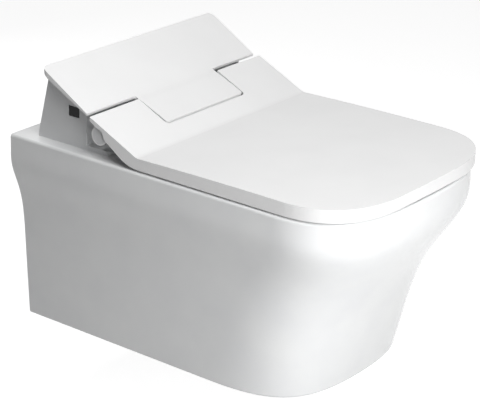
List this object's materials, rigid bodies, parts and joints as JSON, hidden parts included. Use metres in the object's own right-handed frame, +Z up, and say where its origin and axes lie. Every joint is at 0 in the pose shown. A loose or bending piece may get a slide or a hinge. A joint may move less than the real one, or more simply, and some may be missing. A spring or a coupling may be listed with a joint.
{
  "type": "wall hung toilet",
  "caption": "Wall hung pan in white china with a slim shower seat unit: hinged seat and notched lid, sliding wash nozzle, slanted cover and quick-release mounting.",
  "frame": {"origin": "centre between the two wall bolt holes, on the wall plane (the pan's flat rear face)", "axes": "+Y into the wall along the bolt axes, -Y to the front of the pan, +X to the right seen from the front, +Z up"},
  "size_m": [0.3804, 0.5703, 0.394],
  "materials": {
    "glazed_china": "vitreous china, slip cast, gloss white glaze",
    "white_plastic": "injection-moulded thermoset plastic, gloss white",
    "housing_plastic": "injection-moulded ABS, satin white",
    "black_plastic": "injection-moulded plastic, gloss black",
    "grey_plastic": "moulded nylon, grey",
    "clear_rubber": "soft moulded elastomer, translucent white",
    "black_rubber": "moulded rubber, black",
    "stainless": "stainless steel, brushed",
    "zinc_steel": "steel, bright zinc plated",
    "brass": "machined brass",
    "circuit_board": "glass-epoxy circuit board, green solder mask",
    "white_nylon": "moulded acetal, natural white"
  },
  "bodies": {
    "pan": {"base_plate": "housing_plastic", "control_board": "circuit_board", "housing": "housing_plastic", "housing_screws": "zinc_steel", "inlet_valve": "white_nylon", "key_switch": "grey_plastic", "latch_spring": "zinc_steel", "lid_damper": "grey_plastic", "mounting_plate": "stainless", "nozzle_guide": "white_nylon", "nozzle_motor": "zinc_steel", "pan": "glazed_china", "power_inlet": "black_rubber", "seat_bolt_nuts": "stainless", "seat_bolt_washers": "white_nylon", "seat_bolts": "stainless", "seat_damper": "grey_plastic", "service_grommet": "black_rubber", "top_cover": "white_plastic", "wall_bolt_sleeves": "white_nylon", "water_heater": "grey_plastic", "water_inlet": "brass", "water_pump": "grey_plastic"},
    "seat": {"seat": "white_plastic", "seat_buffers": "clear_rubber", "seat_hinge_pin": "stainless"},
    "lid": {"lid": "white_plastic", "lid_buffers": "clear_rubber", "lid_hinge_pin": "stainless", "hinge_caps": "housing_plastic"},
    "nozzle": {"nozzle_wand": "stainless", "nozzle_tip": "white_plastic", "nozzle_cover": "white_plastic", "nozzle_rack": "white_nylon"},
    "pinion": {"drive_pinion": "white_nylon"},
    "release": {"release_button": "housing_plastic", "latch_bar": "grey_plastic"},
    "key": {"side_key": "black_plastic"}
  },
  "joints": [
    {"name": "seat_hinge", "type": "hinge", "parent": "pan", "child": "seat", "pos_m": [0, -0.159, 0.113], "axis": [-1, 0, 0], "range_deg": [0, 95]},
    {"name": "lid_hinge", "type": "hinge", "parent": "seat", "child": "lid", "pos_m": [0, -0.159, 0.113], "axis": [1, 0, 0], "range_deg": [-100, 0]},
    {"name": "nozzle_slide", "type": "slide", "parent": "pan", "child": "nozzle", "axis": [0, -0.9397, -0.342], "range_m": [0, 0.1]},
    {"name": "pinion_spin", "type": "hinge", "parent": "pan", "child": "pinion", "pos_m": [-0.0078, -0.16596, 0.11107], "axis": [-1, 0, 0], "range_deg": [-5, 960]},
    {"name": "release_push", "type": "slide", "parent": "pan", "child": "release", "axis": [-1, 0, 0], "range_m": [0, 0.004], "stiffness_N_per_m": 400, "springref_m": -0.002},
    {"name": "key_push", "type": "slide", "parent": "pan", "child": "key", "axis": [1, 0, 0], "range_m": [0, 0.0015], "stiffness_N_per_m": 400, "springref_m": -0.001}
  ],
  "couplings": [
    {"joint": "pinion_spin", "follows": "nozzle_slide", "rad_per_m": 166.67}
  ]
}
